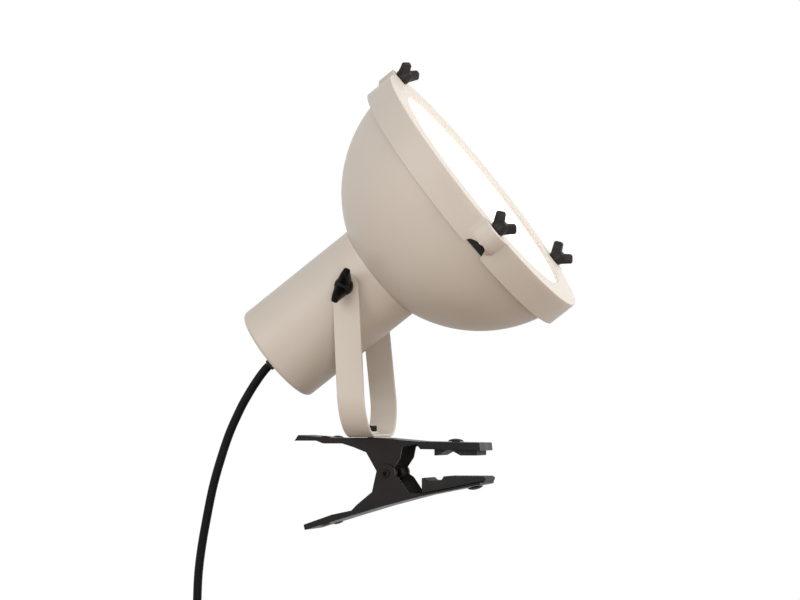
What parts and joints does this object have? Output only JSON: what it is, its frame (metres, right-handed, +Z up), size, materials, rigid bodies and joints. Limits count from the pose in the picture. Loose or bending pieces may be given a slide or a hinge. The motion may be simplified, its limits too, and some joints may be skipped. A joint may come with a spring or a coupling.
{
  "type": "clip on reading lamp",
  "caption": "Clip-on reading lamp: round painted spot head with frosted pane, tilting in a flat-strap yoke on a black sprung steel clip, with its lead, in-line switch and plug.",
  "frame": {"origin": "centre of the upper jaw pad's flat gripping face", "axes": "+Z up, +X from the handles towards the jaw's open end, +Y across the clip"},
  "size_m": [0.2297, 0.165, 0.5011],
  "materials": {
    "beige_paint": "satin paint",
    "black_steel": "gloss black coat",
    "plated_steel": "zinc plated",
    "black_plastic": "satin",
    "black_rubber": "matt",
    "frosted_glass": "frosted",
    "opal_glass": "opal",
    "porcelain": "glazed"
  },
  "bodies": {
    "clip": {"clip_upper": "black_steel", "clip_pin": "black_steel", "clip_spring": "plated_steel", "upper_pad": "black_rubber", "base_screw": "plated_steel", "base_washer": "plated_steel", "base_nut": "black_steel"},
    "clip_arm": {"clip_lower": "black_steel", "lower_pad": "black_rubber", "spring_leg_near": "plated_steel", "spring_leg_far": "plated_steel"},
    "yoke": {"yoke_strap": "beige_paint", "cord_upper": "black_rubber", "switch_shell_front": "black_plastic", "switch_shell_back": "black_plastic", "cord_middle": "black_rubber", "cord_coil": "black_rubber", "coil_tie": "black_plastic", "cord_tail": "black_rubber", "plug_body": "black_plastic", "plug_pin_near": "plated_steel", "plug_pin_far": "plated_steel"},
    "rocker": {"switch_rocker": "black_plastic"},
    "head": {"friction_washer_near": "black_plastic", "friction_washer_far": "black_plastic", "bowl_shell": "beige_paint", "tail_housing": "beige_paint", "front_ring": "beige_paint", "diffuser_glass": "frosted_glass", "glass_gasket": "black_rubber", "stud_top": "plated_steel", "stud_near": "plated_steel", "stud_far": "plated_steel", "holder_bracket": "plated_steel", "bracket_screw_near": "plated_steel", "bracket_screw_far": "plated_steel", "lamp_holder": "porcelain", "bulb_cap": "plated_steel", "bulb_globe": "opal_glass", "cord_gland": "black_rubber", "inner_lead": "black_rubber"},
    "knob_near": {"side_knob_near": "black_plastic"},
    "knob_far": {"side_knob_far": "black_plastic"},
    "nut_top": {"wing_nut_top": "black_plastic"},
    "nut_near": {"wing_nut_near": "black_plastic"},
    "nut_far": {"wing_nut_far": "black_plastic"}
  },
  "joints": [
    {"name": "clip_hinge", "type": "hinge", "parent": "clip", "child": "clip_arm", "pos_m": [-0.0463, 0, -0.01005], "axis": [0, 1, 0], "range_deg": [0, 28], "stiffness_Nm_per_rad": 0.8, "springref_deg": -34.38},
    {"name": "yoke_swivel", "type": "hinge", "parent": "clip", "child": "yoke", "pos_m": [-0.0597, 0, 0], "axis": [0, 0, 1], "range_deg": [-90, 90]},
    {"name": "head_tilt", "type": "hinge", "parent": "yoke", "child": "head", "pos_m": [-0.06603, 0, 0.09425], "axis": [0, 1, 0], "range_deg": [-28, 34]},
    {"name": "rocker_tip", "type": "hinge", "parent": "yoke", "child": "rocker", "pos_m": [-0.1618, -0.0058, -0.1263], "axis": [1, 0, 0], "range_deg": [-16, 0]},
    {"name": "knob_near_turn", "type": "hinge", "parent": "head", "child": "knob_near", "pos_m": [-0.06603, 0, 0.09425], "axis": [0, 1, 0], "range_deg": [0, 270]},
    {"name": "knob_far_turn", "type": "hinge", "parent": "head", "child": "knob_far", "pos_m": [-0.06603, 0, 0.09425], "axis": [0, 1, 0], "range_deg": [0, 270]},
    {"name": "nut_top_turn", "type": "hinge", "parent": "head", "child": "nut_top", "pos_m": [-0.04296, 0.00568, 0.21431], "axis": [0.794, 0, 0.6079], "range_deg": [0, 360]},
    {"name": "nut_near_turn", "type": "hinge", "parent": "head", "child": "nut_near", "pos_m": [0.02818, -0.07325, 0.12139], "axis": [0.794, 0, 0.6079], "range_deg": [0, 360]},
    {"name": "nut_far_turn", "type": "hinge", "parent": "head", "child": "nut_far", "pos_m": [0.03417, 0.06757, 0.11357], "axis": [0.794, 0, 0.6079], "range_deg": [0, 360]}
  ]
}
